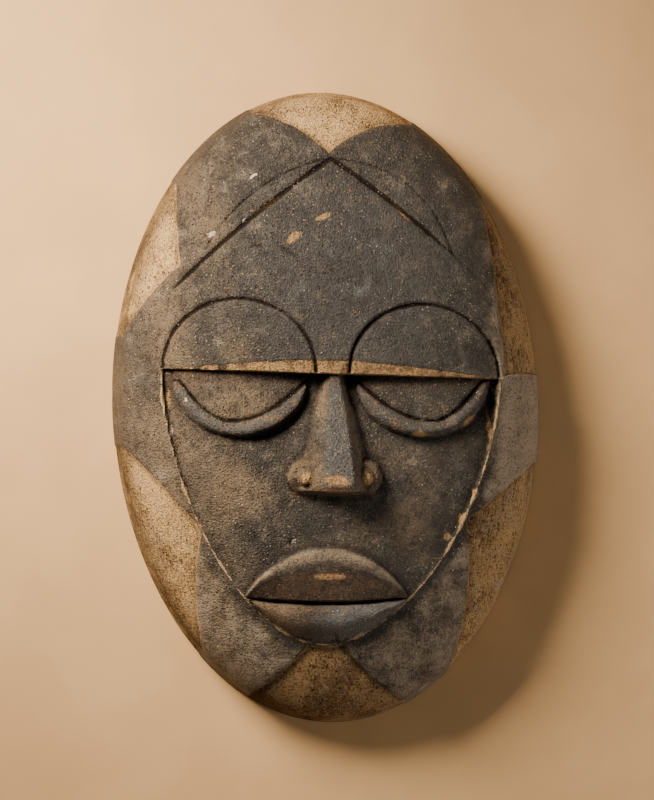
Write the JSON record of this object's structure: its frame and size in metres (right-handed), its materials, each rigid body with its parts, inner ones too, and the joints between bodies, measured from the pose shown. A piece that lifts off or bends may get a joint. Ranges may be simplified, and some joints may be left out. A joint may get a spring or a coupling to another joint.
{
  "type": "carved wooden face mask",
  "caption": "Oval carved wooden face mask, hollow at the back, with petal-shaped fields around a long face, arched brows, half-closed eyes, a wedge nose and full lips.",
  "frame": {"origin": "centre of the outline on the flat back rim, which is the plane z = 0", "axes": "+Z out of the face, +Y to the top of the head, +X to the viewer's right"},
  "size_m": [0.231, 0.34, 0.0876],
  "materials": {
    "painted_wood": "matt dark pigment on wood, dusty, with pale clay in the fields between the petals and bare wood at worn edges"
  },
  "bodies": {
    "root": {"mask": "painted_wood"}
  },
  "joints": []
}
